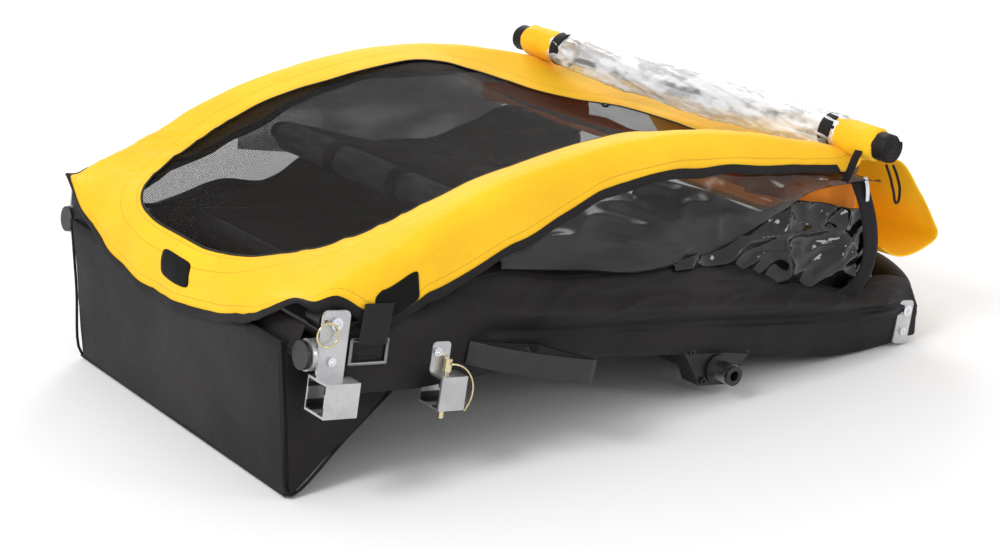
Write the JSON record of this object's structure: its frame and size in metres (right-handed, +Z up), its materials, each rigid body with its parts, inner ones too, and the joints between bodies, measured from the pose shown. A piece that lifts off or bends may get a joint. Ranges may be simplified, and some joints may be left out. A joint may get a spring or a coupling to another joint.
{
  "type": "child bicycle trailer",
  "caption": "Folded-flat child bicycle trailer without wheels or tow bar: frame, canopy hoop, seat hoop, fabric body, tow receivers and axle sockets.",
  "frame": {"origin": "on the floor under the middle of the folded trailer", "axes": "+Z up, front of the trailer at -Y, its own left side at +X"},
  "size_m": [0.7372, 0.98, 0.3355],
  "materials": {
    "frame_tube": "powder coat, satin",
    "bracket_plate": "satin, lightly brushed",
    "zinc_fastener": "zinc plated",
    "pin_steel": "yellow passivated zinc",
    "ring_steel": "plated wire",
    "sleeve_metal": "turned",
    "black_plastic": "moulded, fine grain",
    "dark_bolt": "black oxide",
    "yellow_cloth": "coated woven cloth",
    "black_mesh": "open mesh",
    "black_cloth": "coated woven cloth",
    "webbing": "woven tape",
    "foam": "closed-cell foam",
    "window_film": "smoked clear film",
    "rain_film": "clear film, creased"
  },
  "bodies": {
    "base": {"side_rail_left": "frame_tube", "side_rail_right": "frame_tube", "front_cross_tube": "frame_tube", "mid_cross_tube": "frame_tube", "rear_cross_tube": "frame_tube", "axle_beam": "frame_tube", "rail_front_caps": "black_plastic", "rail_rear_plugs": "black_plastic", "front_bracket_left": "bracket_plate", "front_bracket_right": "bracket_plate", "rear_bracket_left": "bracket_plate", "rear_bracket_right": "bracket_plate", "tow_receiver_rear": "bracket_plate", "front_receiver_liners": "black_plastic", "rear_receiver_liners": "black_plastic", "frame_screws": "zinc_fastener", "hoop_pivot_bolts": "zinc_fastener", "seat_pivot_bolts": "zinc_fastener", "pivot_spacers": "zinc_fastener", "tension_straps": "webbing", "axle_housing_left": "black_plastic", "axle_housing_right": "black_plastic", "axle_sleeve_left": "sleeve_metal", "axle_sleeve_right": "sleeve_metal", "axle_bush_left": "black_plastic", "axle_bush_right": "black_plastic", "housing_bolts": "dark_bolt", "wheel_guard_left": "black_plastic", "wheel_guard_right": "black_plastic", "seat_base": "black_cloth", "footwell": "black_cloth", "floor_panel": "black_cloth", "side_panel_left": "black_cloth", "side_panel_right": "black_cloth", "rear_panel": "black_cloth", "front_apron": "yellow_cloth"},
    "canopy": {"canopy_hoop": "frame_tube", "hoop_end_left": "black_plastic", "hoop_end_right": "black_plastic", "canopy_cover": "yellow_cloth", "mesh_screen": "black_mesh", "window_left": "window_film", "window_right": "window_film", "rear_flap": "yellow_cloth", "rain_cover_roll": "rain_film", "roll_straps": "webbing"},
    "seat": {"seat_hoop": "frame_tube", "seat_end_left": "black_plastic", "seat_end_right": "black_plastic", "crossbar_foam": "foam", "crossbar_loops": "webbing", "seat_back": "black_cloth", "harness_straps": "webbing", "harness_buckle": "black_plastic"},
    "pin": {"hitch_pin": "pin_steel"},
    "keeper": {"hitch_pin_ring": "pin_steel"},
    "tether": {"tether_ring": "pin_steel"},
    "strap_ring_left": {"tension_ring_left": "ring_steel"},
    "strap_ring_right": {"tension_ring_right": "ring_steel"}
  },
  "joints": [
    {"name": "canopy_fold", "type": "hinge", "parent": "base", "child": "canopy", "pos_m": [0, -0.44971, 0.21185], "axis": [1, 0, 0], "range_deg": [0, 44], "deforming": ["canopy_cover", "mesh_screen"]},
    {"name": "seat_fold", "type": "hinge", "parent": "base", "child": "seat", "pos_m": [0, 0.40997, 0.04813], "axis": [-1, 0, 0], "range_deg": [0, 27]},
    {"name": "pin_lift", "type": "slide", "parent": "base", "child": "pin", "axis": [0, 0.1702, 0.9854], "range_m": [0, 0.05]},
    {"name": "keeper_swing", "type": "hinge", "parent": "pin", "child": "keeper", "pos_m": [0.31674, -0.31204, 0.13936], "axis": [1, 0, 0], "range_deg": [0, 12]},
    {"name": "tether_swing", "type": "hinge", "parent": "base", "child": "tether", "pos_m": [0.3155, -0.46061, 0.21576], "axis": [1, 0, 0], "range_deg": [-60, 60]},
    {"name": "strap_ring_left_swing", "type": "hinge", "parent": "base", "child": "strap_ring_left", "pos_m": [0.30945, -0.40779, 0.18431], "axis": [0, -0.9854, 0.1702], "range_deg": [0, 60]},
    {"name": "strap_ring_right_swing", "type": "hinge", "parent": "base", "child": "strap_ring_right", "pos_m": [-0.30945, -0.40779, 0.18431], "axis": [0, 0.9854, -0.1702], "range_deg": [0, 60]}
  ],
  "couplings": [
    {"joint": "seat_fold", "follows": "canopy_fold", "ratio": 0.6}
  ]
}
